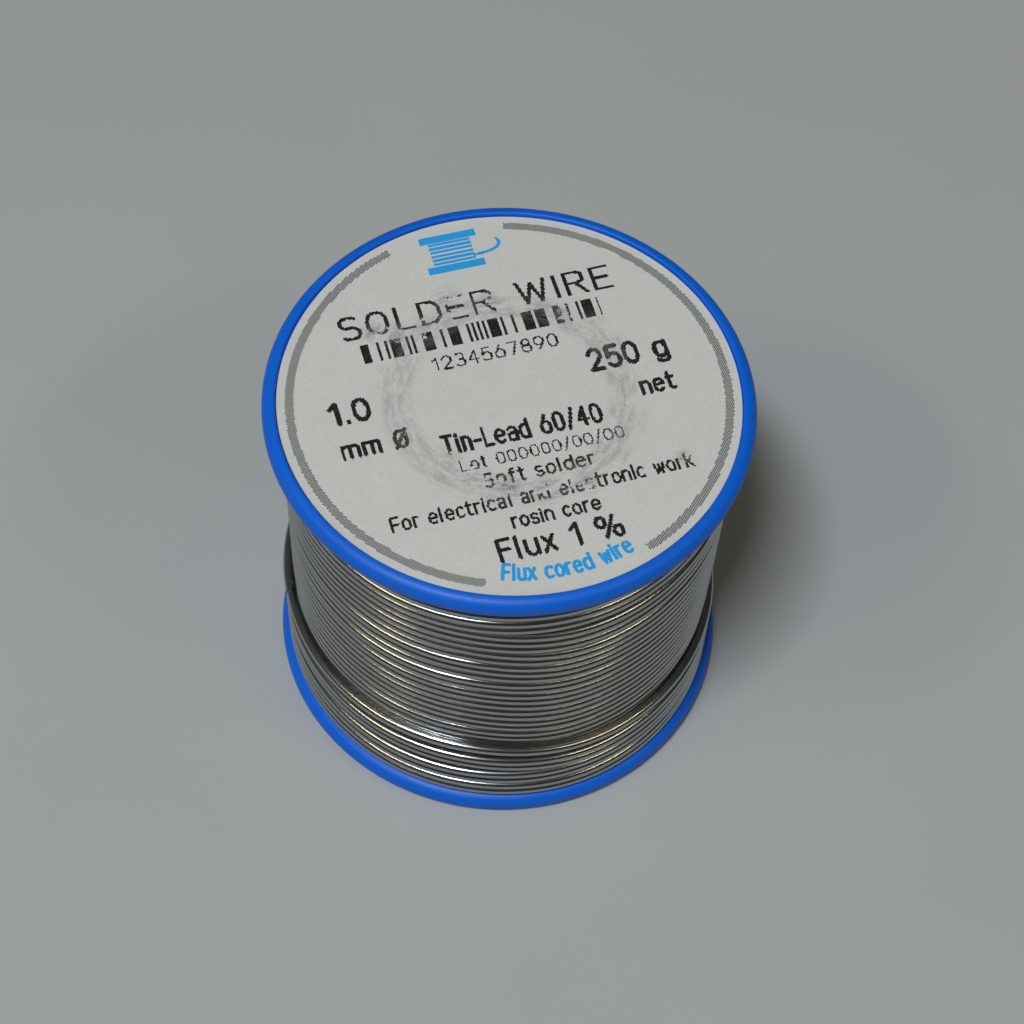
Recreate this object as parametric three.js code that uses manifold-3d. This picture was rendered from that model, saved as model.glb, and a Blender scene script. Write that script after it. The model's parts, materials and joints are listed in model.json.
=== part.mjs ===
// Solder wire spool: flux-cored wire of 1 mm wound in twelve full layers and a part layer on a
// plastic spool of two pressed-together mouldings, with a round paper label on the upper flange.
// Millimetres, +Z up. The origin is the centre of the lower flange's underside, on the surface
// that the spool stands on. Angles are counter-clockwise from +X, seen from above.

import * as THREE from "three";
import { mergeVertices } from "three/addons/utils/BufferGeometryUtils.js";
import Module from "manifold-3d";

const wasm = await Module();
wasm.setup();

// Spool
const SPOOL_HEIGHT = 40;
const FLANGE_RADIUS = 22.35;
const RIM_ROUNDING = 1.2; // the rims are full-round, so a rim is twice this thick
const RIM_THICKNESS = 2 * RIM_ROUNDING;
const RIM_CREST_RADIUS = FLANGE_RADIUS - RIM_ROUNDING;
const FACE_RECESS = 0.5; // both flanges' outer faces lie this far below their rims
const FOOT_WIDTH = 0.85; // flat ring under the lower rim
const LABEL_STEP = 0.05; // flat ring on the upper rim
const RECESS_DRAFT = 0.2;
const BORE_RADIUS = 9;
const BORE_MOUTH_ROUNDING = 0.6;
const HUB_RADIUS = 10.2;

// Press joint between the two mouldings, half way up the hub
const JOINT_HEIGHT = SPOOL_HEIGHT / 2;
const SPIGOT_LENGTH = 3;
const SPIGOT_WALL = 0.55;
const SPIGOT_LEAD_IN = 0.2;
const JOINT_CLEARANCE = 0.1;

// Paper label
const LABEL_RADIUS = 21;
const LABEL_THICKNESS = 0.1;
const LABEL_GLUE = 0.02;

// Wire and winding
const WIRE_DIAMETER = 1;
const WIRE_RADIUS = WIRE_DIAMETER / 2;
const LAYER_COUNT = 12;
const LAYER_PITCH = 0.868; // the turns of one layer lie in the grooves of the layer below
const LAYER_CLEARANCE = 0.03;
const WINDING_END_CLEARANCE = 0.05;
const PART_LAYER_RADIUS = HUB_RADIUS + WIRE_RADIUS + LAYER_COUNT * LAYER_PITCH;
const PART_LAYER_TOP = 9.1;
const TURN_RADIUS = PART_LAYER_RADIUS + 0.05; // the loose turns stand this much off layer 12
const TURN_DIAMETER = WIRE_DIAMETER - 0.06;

// The two top turns step down at the front and climb at the back, and the wire climbs once more
// to its free end. Heights are of the wire's centre, on the right and left side of the front
// step, where the turns lie level.
const FRONT_STEP = [238, 280];
const BACK_STEP = [85, 150];
const LAST_STEP = [50, 112];
const TOP_TURN_HEIGHTS = { right: 10.4, left: 11.6 };
const SECOND_TURN_HEIGHTS = { right: 8.6, left: 9.55 };

// Free end of the wire, on top of the part layer from the back to the left side. It bends about
// an upright line through the wire's centre.
const END_HEIGHT = 12.62;
const END_HINGE_ANGLE = 118;
const END_TIP_ANGLE = 175.5;
const END_GAP = 0.4; // on each side of the bending line, so that the end clears the turn
const END_LIFT = 0.1; // the cut tip springs this far off the winding
const CORE_DIAMETER = 0.3;
const CORE_LENGTH = 1.2;
const CORE_CLEARANCE = 0.03;

// Start of the wire, in a hole through the lower flange beside the hub
const ANCHOR_RADIUS = 11.1;
const ANCHOR_ANGLE = 35;
const ANCHOR_HOLE_DIAMETER = 1.6;
const ANCHOR_SETBACK = 0.25; // both ends of the wire's start stay this far inside the flange

// Facets
const ROUND_SEGMENTS = 48;
const RIM_SEGMENTS = 8;
const ROUNDING_SEGMENTS = 3;
const WIRE_SEGMENTS = 8;
const TURN_SEGMENTS = 130;
const END_SEGMENTS = 14;
const CORE_SEGMENTS = 2;
const HOLE_SEGMENTS = 12;

const CUT_OVERRUN = 1; // a cutting tool runs this far past the face it opens
const MERGE_DISTANCE = 1e-4;

const plastic = new THREE.MeshStandardMaterial({
  color: 0x1158c8,
  roughness: 0.38,
  metalness: 0,
});
const paper = new THREE.MeshStandardMaterial({
  color: 0xdad9d6,
  roughness: 0.85,
  metalness: 0,
});
const solder = new THREE.MeshStandardMaterial({
  color: 0xa9aaa6,
  roughness: 0.28,
  metalness: 1,
});
const flux = new THREE.MeshStandardMaterial({
  color: 0xb98a3a,
  roughness: 0.3,
  metalness: 0,
});

const spool = new THREE.Group();

function addPiece(name, geometry, material) {
  const mesh = new THREE.Mesh(geometry, material);
  mesh.name = name;
  spool.add(mesh);
  return mesh;
}

function onCircle(radius, degrees, height) {
  const angle = THREE.MathUtils.degToRad(degrees);
  return new THREE.Vector3(radius * Math.cos(angle), radius * Math.sin(angle), height);
}

// Points [radius, height] of an arc, from one angle to another in degrees.
function arcPoints(centreRadius, centreHeight, rounding, from, to, steps) {
  const points = [];
  for (let i = 0; i <= steps; i++) {
    const angle = THREE.MathUtils.degToRad(from + ((to - from) * i) / steps);
    points.push([
      centreRadius + rounding * Math.cos(angle),
      centreHeight + rounding * Math.sin(angle),
    ]);
  }
  return points;
}

// Turns a closed outline of [radius, height] points about Z. The outline runs counter-clockwise,
// with the radius to the right and the height up.
function turned(outline) {
  const points = [...outline, outline[0]].map(([r, z]) => new THREE.Vector2(r, z));
  return new THREE.LatheGeometry(points, ROUND_SEGMENTS).rotateX(Math.PI / 2);
}

function sleeve(innerRadius, outerRadius, bottom, top) {
  return turned([
    [innerRadius, bottom],
    [outerRadius, bottom],
    [outerRadius, top],
    [innerRadius, top],
  ]);
}

// A round rod along a curve, closed at both ends.
function rod(curve, diameter, steps) {
  const section = new THREE.Shape();
  for (let i = 0; i < WIRE_SEGMENTS; i++) {
    const angle = (2 * Math.PI * i) / WIRE_SEGMENTS;
    const x = (diameter / 2) * Math.cos(angle);
    const y = (diameter / 2) * Math.sin(angle);
    if (i === 0) section.moveTo(x, y);
    else section.lineTo(x, y);
  }
  section.closePath();
  return new THREE.ExtrudeGeometry(section, { steps, extrudePath: curve });
}

function uprightPin(x, y, bottom, top, diameter) {
  const pin = new THREE.CylinderGeometry(diameter / 2, diameter / 2, top - bottom, HOLE_SEGMENTS);
  return pin.rotateX(Math.PI / 2).translate(x, y, (bottom + top) / 2);
}

function solidOf(geometry) {
  const bare = geometry.clone();
  bare.deleteAttribute("normal");
  bare.deleteAttribute("uv");
  const merged = mergeVertices(bare, MERGE_DISTANCE);
  const mesh = new wasm.Mesh({
    numProp: 3,
    vertProperties: new Float32Array(merged.attributes.position.array),
    triVerts: new Uint32Array(merged.index.array),
  });
  return new wasm.Manifold(mesh);
}

function geometryOf(solid) {
  const mesh = solid.getMesh();
  const geometry = new THREE.BufferGeometry();
  geometry.setAttribute("position", new THREE.BufferAttribute(mesh.vertProperties, 3));
  geometry.setIndex(new THREE.BufferAttribute(mesh.triVerts, 1));
  return geometry;
}

// The lower moulding: flange with a flat ring to stand on, hub up to the joint, and a spigot.
function lowerSpoolHalf() {
  const footInner = RIM_CREST_RADIUS - FOOT_WIDTH;
  const mouth = BORE_RADIUS + BORE_MOUTH_ROUNDING;
  const spigotTop = JOINT_HEIGHT + SPIGOT_LENGTH;
  const spigotRadius = BORE_RADIUS + SPIGOT_WALL;
  const body = turned([
    [footInner - RECESS_DRAFT, FACE_RECESS],
    [footInner, 0],
    ...arcPoints(RIM_CREST_RADIUS, RIM_ROUNDING, RIM_ROUNDING, -90, 90, RIM_SEGMENTS),
    [HUB_RADIUS, RIM_THICKNESS],
    [HUB_RADIUS, JOINT_HEIGHT],
    [spigotRadius, JOINT_HEIGHT],
    [spigotRadius, spigotTop - SPIGOT_LEAD_IN],
    [spigotRadius - SPIGOT_LEAD_IN, spigotTop],
    [BORE_RADIUS, spigotTop],
    ...arcPoints(
      mouth,
      FACE_RECESS + BORE_MOUTH_ROUNDING,
      BORE_MOUTH_ROUNDING,
      180,
      270,
      ROUNDING_SEGMENTS,
    ),
  ]);
  const anchor = onCircle(ANCHOR_RADIUS, ANCHOR_ANGLE, 0);
  const hole = uprightPin(
    anchor.x,
    anchor.y,
    -CUT_OVERRUN,
    RIM_THICKNESS + CUT_OVERRUN,
    ANCHOR_HOLE_DIAMETER,
  );
  return geometryOf(solidOf(body).subtract(solidOf(hole)));
}

// The upper moulding: flange with a shallow recess for the label, and the hub's socket.
function upperSpoolHalf() {
  const labelFace = SPOOL_HEIGHT - FACE_RECESS;
  const innerFace = SPOOL_HEIGHT - RIM_THICKNESS;
  const mouth = BORE_RADIUS + BORE_MOUTH_ROUNDING;
  const socketRadius = BORE_RADIUS + SPIGOT_WALL + JOINT_CLEARANCE;
  const socketTop = JOINT_HEIGHT + SPIGOT_LENGTH + JOINT_CLEARANCE;
  return turned([
    [socketRadius, JOINT_HEIGHT + JOINT_CLEARANCE],
    [HUB_RADIUS, JOINT_HEIGHT + JOINT_CLEARANCE],
    [HUB_RADIUS, innerFace],
    ...arcPoints(
      RIM_CREST_RADIUS,
      SPOOL_HEIGHT - RIM_ROUNDING,
      RIM_ROUNDING,
      -90,
      90,
      RIM_SEGMENTS,
    ),
    [RIM_CREST_RADIUS - LABEL_STEP, labelFace],
    ...arcPoints(
      mouth,
      labelFace - BORE_MOUTH_ROUNDING,
      BORE_MOUTH_ROUNDING,
      90,
      180,
      ROUNDING_SEGMENTS,
    ),
    [BORE_RADIUS, socketTop],
    [socketRadius, socketTop],
  ]);
}

// The label also closes the bore's upper mouth.
function topLabel() {
  const bottom = SPOOL_HEIGHT - FACE_RECESS + LABEL_GLUE;
  const disc = new THREE.CylinderGeometry(
    LABEL_RADIUS,
    LABEL_RADIUS,
    LABEL_THICKNESS,
    ROUND_SEGMENTS,
  );
  return disc.rotateX(Math.PI / 2).translate(0, 0, bottom + LABEL_THICKNESS / 2);
}

// One full layer of turns, as a sleeve. Layer 1 lies on the hub.
function windingLayer(number) {
  const middle = HUB_RADIUS + WIRE_RADIUS + (number - 1) * LAYER_PITCH;
  const halfDepth = LAYER_PITCH / 2 - LAYER_CLEARANCE;
  return sleeve(
    middle - halfDepth,
    middle + halfDepth,
    RIM_THICKNESS + WINDING_END_CLEARANCE,
    SPOOL_HEIGHT - RIM_THICKNESS - WINDING_END_CLEARANCE,
  );
}

// Degrees that a length of wire covers on the part layer.
function degreesFor(length) {
  return THREE.MathUtils.radToDeg(length / TURN_RADIUS);
}

// The two top turns of the part layer, followed back from the root of the free end: each key is
// the angle and height where a level stretch or a step begins.
class TopTurns extends THREE.Curve {
  constructor() {
    super();
    const top = TOP_TURN_HEIGHTS;
    const second = SECOND_TURN_HEIGHTS;
    this.keys = [
      [END_HINGE_ANGLE - degreesFor(END_GAP), END_HEIGHT],
      [LAST_STEP[1], END_HEIGHT],
      [LAST_STEP[0], top.right],
      [FRONT_STEP[1] - 360, top.right],
      [FRONT_STEP[0] - 360, top.left],
      [BACK_STEP[1] - 360, top.left],
      [BACK_STEP[0] - 360, second.right],
      [FRONT_STEP[1] - 720, second.right],
      [FRONT_STEP[0] - 720, second.left],
      [BACK_STEP[1] - 720, second.left],
    ];
  }
  heightAt(degrees) {
    const after = this.keys.findIndex(([angle]) => angle <= degrees);
    if (after < 1) return this.keys.at(after)[1];
    const [fromAngle, fromHeight] = this.keys[after - 1];
    const [toAngle, toHeight] = this.keys[after];
    const share = THREE.MathUtils.smoothstep(fromAngle - degrees, 0, fromAngle - toAngle);
    return fromHeight + (toHeight - fromHeight) * share;
  }
  getPoint(share, target = new THREE.Vector3()) {
    const first = this.keys[0][0];
    const last = this.keys.at(-1)[0];
    const degrees = first + share * (last - first);
    return target.copy(onCircle(TURN_RADIUS, degrees, this.heightAt(degrees)));
  }
}

// The part layer: a sleeve of turns on the lower end of layer 12, with its top turns on it.
function partLayer() {
  const turns = sleeve(
    PART_LAYER_RADIUS - LAYER_PITCH / 2 + LAYER_CLEARANCE,
    PART_LAYER_RADIUS + WIRE_RADIUS,
    RIM_THICKNESS + WINDING_END_CLEARANCE,
    PART_LAYER_TOP,
  );
  const topTurns = rod(new TopTurns(), TURN_DIAMETER, TURN_SEGMENTS);
  return geometryOf(solidOf(turns).add(solidOf(topTurns)));
}

// The free end lies round the winding and springs off it a little towards the tip. A stretch of
// it runs between two shares of its length.
class FreeEnd extends THREE.Curve {
  constructor(from = 0, to = 1) {
    super();
    this.from = from;
    this.to = to;
  }
  getPoint(part, target = new THREE.Vector3()) {
    const share = this.from + (this.to - this.from) * part;
    const start = END_HINGE_ANGLE + degreesFor(END_GAP);
    const degrees = start + share * (END_TIP_ANGLE - start);
    const radius = TURN_RADIUS + END_LIFT * share * share;
    return target.copy(onCircle(radius, degrees, END_HEIGHT));
  }
}

const freeEndLength = new FreeEnd().getLength();
const coreShare = 1 - CORE_LENGTH / freeEndLength;

// The free end, with the flux core's hole in its cut tip.
function freeEnd() {
  const wire = rod(new FreeEnd(), TURN_DIAMETER, END_SEGMENTS);
  const stretch = new FreeEnd(coreShare, 1 + CORE_CLEARANCE / freeEndLength);
  const hole = rod(stretch, CORE_DIAMETER + 2 * CORE_CLEARANCE, CORE_SEGMENTS);
  return geometryOf(solidOf(wire).subtract(solidOf(hole)));
}

function fluxCore() {
  const stretch = new FreeEnd(coreShare + CORE_CLEARANCE / freeEndLength, 1);
  return rod(stretch, CORE_DIAMETER, CORE_SEGMENTS);
}

function wireStart() {
  const place = onCircle(ANCHOR_RADIUS, ANCHOR_ANGLE, 0);
  const bottom = FACE_RECESS + ANCHOR_SETBACK;
  const top = RIM_THICKNESS - ANCHOR_SETBACK;
  return uprightPin(place.x, place.y, bottom, top, WIRE_DIAMETER);
}

addPiece("lower_spool_half", lowerSpoolHalf(), plastic);
addPiece("upper_spool_half", upperSpoolHalf(), plastic);
addPiece("top_label", topLabel(), paper);
addPiece("wire_start", wireStart(), solder);
for (let number = 1; number <= LAYER_COUNT; number++) {
  const name = "winding_layer_" + String(number).padStart(2, "0");
  addPiece(name, windingLayer(number), solder);
}
addPiece("winding_part_layer", partLayer(), solder);
addPiece("wire_free_end", freeEnd(), solder);
addPiece("flux_core", fluxCore(), flux);

export default spool;
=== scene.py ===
"""Looks of the solder wire spool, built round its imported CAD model.

Sizes are in millimetres and are turned to metres where a mesh is made. Angles are in degrees,
counter-clockwise from +X as seen from above. Heights are above the surface it stands on.
"""
import json
import math
import random

import bpy
import numpy as np
from mathutils import Matrix, Vector, noise


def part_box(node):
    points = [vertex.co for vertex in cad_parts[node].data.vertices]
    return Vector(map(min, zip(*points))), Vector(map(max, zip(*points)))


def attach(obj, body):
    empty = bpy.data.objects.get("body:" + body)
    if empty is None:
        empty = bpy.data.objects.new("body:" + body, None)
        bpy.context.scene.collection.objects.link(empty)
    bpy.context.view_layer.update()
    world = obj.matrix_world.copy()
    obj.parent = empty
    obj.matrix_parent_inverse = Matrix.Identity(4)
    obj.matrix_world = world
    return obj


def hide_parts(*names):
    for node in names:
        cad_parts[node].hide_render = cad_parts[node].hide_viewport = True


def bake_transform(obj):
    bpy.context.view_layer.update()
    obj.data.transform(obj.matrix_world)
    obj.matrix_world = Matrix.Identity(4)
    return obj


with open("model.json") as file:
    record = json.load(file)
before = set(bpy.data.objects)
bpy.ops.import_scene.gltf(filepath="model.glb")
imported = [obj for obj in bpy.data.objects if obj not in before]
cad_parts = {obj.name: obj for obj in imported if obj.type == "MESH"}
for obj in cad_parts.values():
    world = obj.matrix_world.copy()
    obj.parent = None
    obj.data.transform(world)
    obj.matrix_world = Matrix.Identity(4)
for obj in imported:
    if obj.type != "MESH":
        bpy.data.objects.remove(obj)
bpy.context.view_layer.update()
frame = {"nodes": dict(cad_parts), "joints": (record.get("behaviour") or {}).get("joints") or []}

MM = 0.001
TURN = 360

# ---------------------------------------------------------------------------------------------
# Driving sizes, read from the frame or as in the CAD model
# ---------------------------------------------------------------------------------------------


def highest(node):
    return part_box(node)[1] / MM


def lowest(node):
    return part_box(node)[0] / MM


FLANGE_RADIUS = highest("upper_spool_half").x
SPOOL_HEIGHT = highest("upper_spool_half").z
LABEL_RADIUS = highest("top_label").x
LABEL_BOTTOM = lowest("top_label").z
LABEL_TOP = highest("top_label").z

RIM_THICKNESS = 2.4
RIM_ROUNDING = RIM_THICKNESS / 2
FACE_RECESS = 0.5
FOOT_INNER = 20.3
RECESS_DRAFT = 0.2
BORE_RADIUS = 9
BORE_MOUTH_ROUNDING = 0.6
HUB_RADIUS = 10.2
HUB_FILLET = 0.35
JOINT_HEIGHT = SPOOL_HEIGHT / 2
JOINT_GAP = 0.1
SPIGOT_RADIUS = 9.55
SPIGOT_TOP = JOINT_HEIGHT + 3

WIRE_RADIUS = 0.5
OUTER_LAYER_RADIUS = 20.25
LAYER_PITCH = 0.868
PART_LAYER_RADIUS = OUTER_LAYER_RADIUS + LAYER_PITCH
TURN_PITCH = 1.053
TURN_COUNT = 33
FIRST_TURN_HEIGHT = SPOOL_HEIGHT - RIM_THICKNESS - WIRE_RADIUS - 0.05

joint = frame["joints"][0]
HINGE = Vector(joint["pos_m"]) / MM
HINGE_ANGLE = math.degrees(math.atan2(HINGE.y, HINGE.x))
HINGE_RADIUS = HINGE.xy.length

# ---------------------------------------------------------------------------------------------
# Meshes
# ---------------------------------------------------------------------------------------------


SHARP_ANGLE = 35  # edges that turn by more than this are shaded as edges


def mesh_from(name, points, faces, sharp_angle=SHARP_ANGLE):
    """A smooth-shaded mesh whose points are given in millimetres."""
    mesh = bpy.data.meshes.new(name)
    mesh.from_pydata((np.asarray(points, float) * MM).tolist(), [], faces)
    mesh.shade_smooth()
    mesh.set_sharp_from_angle(angle=math.radians(sharp_angle))
    return mesh


def add_piece(name, mesh, material, body="spool", replaced=()):
    """A piece that rides on a body. A body of None leaves that to the caller."""
    piece = bpy.data.objects.new(name, mesh)
    bpy.context.scene.collection.objects.link(piece)
    mesh.materials.append(material)
    if body:
        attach(piece, body)
    if replaced:
        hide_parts(*replaced)
    return piece


def rounded(corners, steps=8):
    """The outline with each corner (radius, height, rounding) turned into an arc."""
    outline = []
    for i, (r, z, rounding) in enumerate(corners):
        corner = Vector((r, z))
        before = (Vector(corners[i - 1][:2]) - corner).normalized()
        after = (Vector(corners[(i + 1) % len(corners)][:2]) - corner).normalized()
        half = before.angle(after) / 2
        middle = (before + after).normalized()
        centre = corner + middle * (rounding / math.sin(half))
        start = corner + before * (rounding / math.tan(half)) - centre
        sweep = start.angle_signed(corner + after * (rounding / math.tan(half)) - centre)
        for step in range(steps + 1):
            spoke = Matrix.Rotation(-sweep * step / steps, 2) @ start
            outline.append(centre + spoke)
    return outline


def turned_mesh(name, outline, segments=240):
    """An outline of (radius, height) points, counter-clockwise, turned about Z."""
    points = []
    for i in range(segments):
        angle = 2 * math.pi * i / segments
        points += [(p[0] * math.cos(angle), p[0] * math.sin(angle), p[1]) for p in outline]
    count = len(outline)
    faces = []
    for i in range(segments):
        here, there = i * count, (i + 1) % segments * count
        for j in range(count):
            k = (j + 1) % count
            faces.append((here + j, there + j, there + k, here + k))
    return mesh_from(name, points, faces)


def tube_mesh(name, path, sides, radius=WIRE_RADIUS):
    """A wire along a path round the spool's axis, closed at both ends. Its UV map holds the
    length along the wire in centimetres and the share of the way round it, from the inside."""
    path = np.asarray(path, float)
    along = np.gradient(path, axis=0)
    along /= np.linalg.norm(along, axis=1)[:, None]
    outward = path * (1, 1, 0)
    outward -= along * (outward * along).sum(1)[:, None]
    outward /= np.linalg.norm(outward, axis=1)[:, None]
    upward = np.cross(outward, along)
    around = math.pi + 2 * math.pi * np.arange(sides) / sides
    ring = np.cos(around)[None, :, None] * outward[:, None]
    ring = ring + np.sin(around)[None, :, None] * upward[:, None]
    points = (path[:, None] + radius * ring).reshape(-1, 3)
    faces = []
    coordinates = []
    lengths = np.r_[0, np.linalg.norm(np.diff(path, axis=0), axis=1).cumsum()] / 10
    for i in range(len(path) - 1):
        for k in range(sides):
            m = (k + 1) % sides
            a, b = i * sides, (i + 1) * sides
            faces.append((a + k, b + k, b + m, a + m))
            low, high = k / sides, (k + 1) / sides
            here, there = lengths[i], lengths[i + 1]
            coordinates += [(here, low), (there, low), (there, high), (here, high)]
    last = (len(path) - 1) * sides
    faces.append(tuple(range(sides)))
    faces.append(tuple(last + k for k in reversed(range(sides))))
    coordinates += [(0, 0)] * sides
    coordinates += [(lengths[-1], 0)] * sides
    mesh = mesh_from(name, points, faces, sharp_angle=50)
    layer = mesh.uv_layers.new(name="along_wire")
    layer.uv.foreach_set("vector", np.asarray(coordinates, np.float32).ravel())
    return mesh


# ---------------------------------------------------------------------------------------------
# Materials
# ---------------------------------------------------------------------------------------------


class Look:
    """A material whose nodes are added by short calls that return output sockets."""

    def __init__(self, name):
        self.material = bpy.data.materials.new(name)
        self.material.use_nodes = True
        self.tree = self.material.node_tree
        self.shader = self.tree.nodes["Principled BSDF"]

    def feed(self, socket, value):
        if isinstance(value, bpy.types.NodeSocket):
            self.tree.links.new(value, socket)
        else:
            socket.default_value = value

    def add(self, kind, inputs, output=0, **settings):
        node = self.tree.nodes.new("ShaderNode" + kind)
        for setting, value in settings.items():
            setattr(node, setting, value)
        for key, value in inputs.items():
            self.feed(node.inputs[key], value)
        return node.outputs[output]

    def surface(self, **inputs):
        for key, value in inputs.items():
            self.feed(self.shader.inputs[key.replace("_", " ")], value)

    def place(self):
        """The point on the surface, in millimetres."""
        point = self.add("TexCoord", {}, "Object")
        return self.add("VectorMath", {0: point, "Scale": 1 / MM}, operation="SCALE")

    def math(self, operation, a, b=0.0, c=0.0, clamp=False):
        return self.add("Math", {0: a, 1: b, 2: c}, operation=operation, use_clamp=clamp)

    def noise(self, place, scale, detail=2.0, roughness=0.5, distortion=0.0):
        inputs = {
            "Vector": place,
            "Scale": scale,
            "Detail": detail,
            "Roughness": roughness,
            "Distortion": distortion,
        }
        return self.add("TexNoise", inputs)

    def between(self, value, low, high, new_low=0.0, new_high=1.0):
        """Maps a value's range to another range, smoothly and held at the ends."""
        inputs = {0: value, 1: low, 2: high, 3: new_low, 4: new_high}
        return self.add("MapRange", inputs, interpolation_type="SMOOTHSTEP")

    def mix(self, share, a, b):
        return self.add("Mix", {0: share, 6: a, 7: b}, 2, data_type="RGBA")

    def bump(self, height, depth, strength=1.0, normal=None):
        """A bump of a real depth, in millimetres."""
        inputs = {"Height": height, "Distance": depth * MM, "Strength": strength}
        if normal:
            inputs["Normal"] = normal
        return self.add("Bump", inputs)


def rgb(red, green, blue):
    return (red, green, blue, 1)


def plastic_look():
    """Blue moulded polystyrene: fine orange peel, faint flow marks and handling scuffs."""
    look = Look("blue_moulded_plastic")
    place = look.place()
    peel = look.noise(place, 4.5, 3, 0.6)
    flow = look.noise(place, 0.12, 2)
    scuffs = look.noise(place, 1.6, 6, 0.75, 1.5)
    scuffed = look.between(scuffs, 0.62, 0.76)
    colour = look.mix(flow, rgb(0.0, 0.124, 0.73), rgb(0.001, 0.152, 0.85))
    colour = look.mix(look.math("MULTIPLY", scuffed, 0.07), colour, rgb(0.06, 0.24, 0.80))
    roughness = look.math("MULTIPLY_ADD", peel, 0.18, 0.36)
    roughness = look.math("MULTIPLY_ADD", scuffed, 0.14, roughness)
    look.surface(Base_Color=colour, Roughness=roughness)
    look.surface(Normal=look.bump(peel, 0.012, 0.6))
    look.surface(IOR=1.5, Specular_IOR_Level=0.36)
    return look.material


# Smudges round the bore's mouth, where other spools and fingers rubbed the label and its print:
# (x, y, radius, how dark from 0 to 1)
SMUDGES = [
    (-2.4, 12.2, 1.5, 0.95),
    (-3.2, 10.6, 1.2, 0.8),
    (-5.5, 9.3, 1.8, 0.55),
    (-8.2, 9.3, 1.5, 0.6),
    (-10.1, 10.1, 1.2, 0.85),
    (1.4, 11.2, 1.2, 0.85),
    (7.4, 7.9, 1.3, 0.7),
    (9.4, 6.2, 1.4, 0.45),
    (10.8, 3.6, 1.3, 0.4),
    (-9.6, 5.6, 1.4, 0.4),
    (-10.6, 2.2, 1.3, 0.4),
    (-9.8, -2.0, 1.5, 0.45),
    (-7.6, -5.4, 1.7, 0.6),
    (-5.4, -7.8, 1.6, 0.9),
    (-2.9, -9.4, 1.6, 1.0),
    (0.4, -10.6, 1.6, 0.85),
    (3.6, -10.4, 1.7, 0.75),
    (7.4, -8.4, 1.8, 0.5),
    (9.6, -5.0, 1.9, 0.45),
    (10.6, -1.0, 1.7, 0.4),
    (13.2, -10.4, 0.9, 0.7),
]


RUBBED_RING = (8.4, 9.6, 10.8, 12.3)  # it fades in and out between these radii
RUBBED_SHARE = 0.5


def smudge_mask(look, place):
    """From 0 to 1, how smudged the label is: a streaky ring round the bore, darker in places."""
    flat = look.add("VectorMath", {0: place, 1: (1, 1, 0)}, operation="MULTIPLY")
    radius = look.add("VectorMath", {0: flat}, "Value", operation="LENGTH")
    direction = look.add("VectorMath", {0: flat}, operation="NORMALIZE")
    outwards = look.add("CombineXYZ", {"Z": radius})
    arcs = look.add("VectorMath", {0: direction, 1: (3, 3, 0), 2: outwards}, operation="MULTIPLY_ADD")
    ragged = look.noise(arcs, 1.5, 5, 0.72, 0.4)
    fine = look.noise(place, 6.0, 3, 0.8)
    inner_start, inner_end, outer_start, outer_end = RUBBED_RING
    rising = look.between(radius, inner_start, inner_end, 0, RUBBED_SHARE)
    total = look.math("MULTIPLY", rising, look.between(radius, outer_end, outer_start))
    for x, y, size, dark in SMUDGES:
        inputs = {0: place, 1: (x, y, LABEL_TOP)}
        distance = look.add("VectorMath", inputs, "Value", operation="DISTANCE")
        spot = look.between(distance, size * 1.35, size * 0.15, 0, dark)
        total = look.math("MAXIMUM", spot, total)
    torn = look.between(ragged, 0.36, 0.64)
    grain = look.between(fine, 0.30, 0.62, 0.45, 1.0)
    mask = look.math("MULTIPLY", total, torn)
    return look.math("MULTIPLY", mask, grain, clamp=True)


def paper_colour(look, place, smudged):
    fleck = look.noise(place, 9.0, 2, 0.7)
    cloud = look.noise(place, 0.35, 3)
    colour = look.mix(cloud, rgb(0.69, 0.695, 0.69), rgb(0.76, 0.765, 0.76))
    colour = look.mix(look.between(fleck, 0.3, 0.7, 0, 0.4), colour, rgb(0.46, 0.465, 0.47))
    return look.mix(look.math("MULTIPLY", smudged, 0.85), colour, rgb(0.10, 0.10, 0.105))


def paper_look():
    look = Look("label_paper")
    place = look.place()
    smudged = smudge_mask(look, place)
    fibre = look.noise(place, 3.2, 5, 0.7)
    look.surface(Base_Color=paper_colour(look, place, smudged))
    look.surface(Roughness=look.math("MULTIPLY_ADD", fibre, 0.14, 0.5))
    look.surface(Normal=look.bump(fibre, 0.014, 0.5))
    return look.material


def print_look(name, ink, worn_share):
    """Ink on the label. It lets some paper through where it is thin or rubbed."""
    look = Look(name)
    place = look.place()
    smudged = smudge_mask(look, place)
    thin = look.between(look.noise(place, 5.0, 4, 0.8), 0.52, 0.78)
    shows = look.math("MULTIPLY_ADD", thin, 0.22, look.math("MULTIPLY", smudged, worn_share))
    colour = look.mix(shows, ink, paper_colour(look, place, smudged))
    look.surface(Base_Color=colour)
    look.surface(Roughness=look.math("MULTIPLY_ADD", thin, 0.2, 0.42))
    return look.material


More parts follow.
